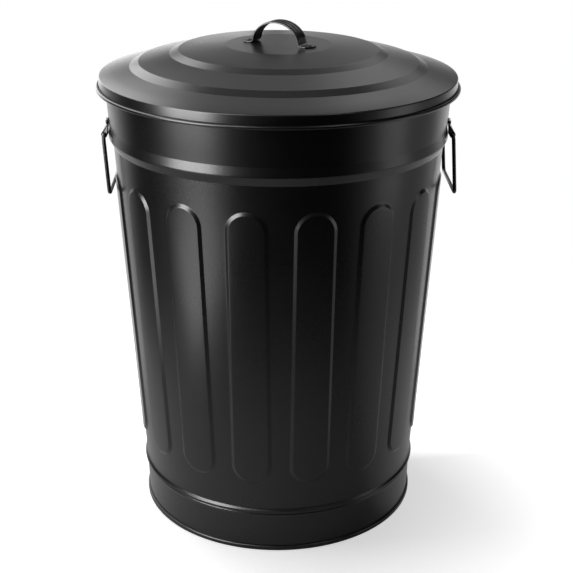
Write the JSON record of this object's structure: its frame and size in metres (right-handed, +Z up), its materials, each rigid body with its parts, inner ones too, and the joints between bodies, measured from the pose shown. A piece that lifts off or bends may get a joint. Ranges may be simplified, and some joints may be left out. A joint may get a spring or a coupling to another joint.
{
  "type": "trash can with lid",
  "caption": "Round tapered sheet steel trash can with raised panels, a swage, a lift-off stepped lid with a strap handle, and swinging wire side handles.",
  "frame": {"origin": "centre of the can's foot, at floor level", "axes": "+Z up along the can's axis, -Y towards the front, the wire handles at -X and +X"},
  "size_m": [0.47, 0.47, 0.6687],
  "materials": {
    "black_coat": "satin black coating on pressed sheet steel",
    "wire_coat": "satin black coating on 5 mm wire",
    "rivet_coat": "satin black coating on steel rivets",
    "bare_wire": "plain drawn steel wire inside the rolled edges",
    "washer_steel": "plain steel washers under the lid"
  },
  "bodies": {
    "can": {"can_wall": "black_coat", "can_rim_wire": "bare_wire", "base_hoop": "black_coat", "bottom_pan": "black_coat", "ear_left_front": "black_coat", "ear_left_back": "black_coat", "ear_right_front": "black_coat", "ear_right_back": "black_coat", "ear_rivet_left_front": "rivet_coat", "ear_rivet_left_back": "rivet_coat", "ear_rivet_right_front": "rivet_coat", "ear_rivet_right_back": "rivet_coat"},
    "lid": {"lid_shell": "black_coat", "lid_rim_wire": "bare_wire", "lid_strap": "black_coat", "lid_rivet_left": "rivet_coat", "lid_rivet_right": "rivet_coat", "lid_washer_left": "washer_steel", "lid_washer_right": "washer_steel"},
    "left_handle": {"bail_left": "wire_coat"},
    "right_handle": {"bail_right": "wire_coat"}
  },
  "joints": [
    {"name": "lid_lift", "type": "slide", "parent": "can", "child": "lid", "axis": [0, 0, 1], "range_m": [0, 0.35]},
    {"name": "left_handle_hinge", "type": "hinge", "parent": "can", "child": "left_handle", "pos_m": [-0.22325, 0, 0.5305], "axis": [0, 1, 0], "range_deg": [-1.6, 168]},
    {"name": "right_handle_hinge", "type": "hinge", "parent": "can", "child": "right_handle", "pos_m": [0.22325, 0, 0.5305], "axis": [0, -1, 0], "range_deg": [-8.6, 160]}
  ]
}
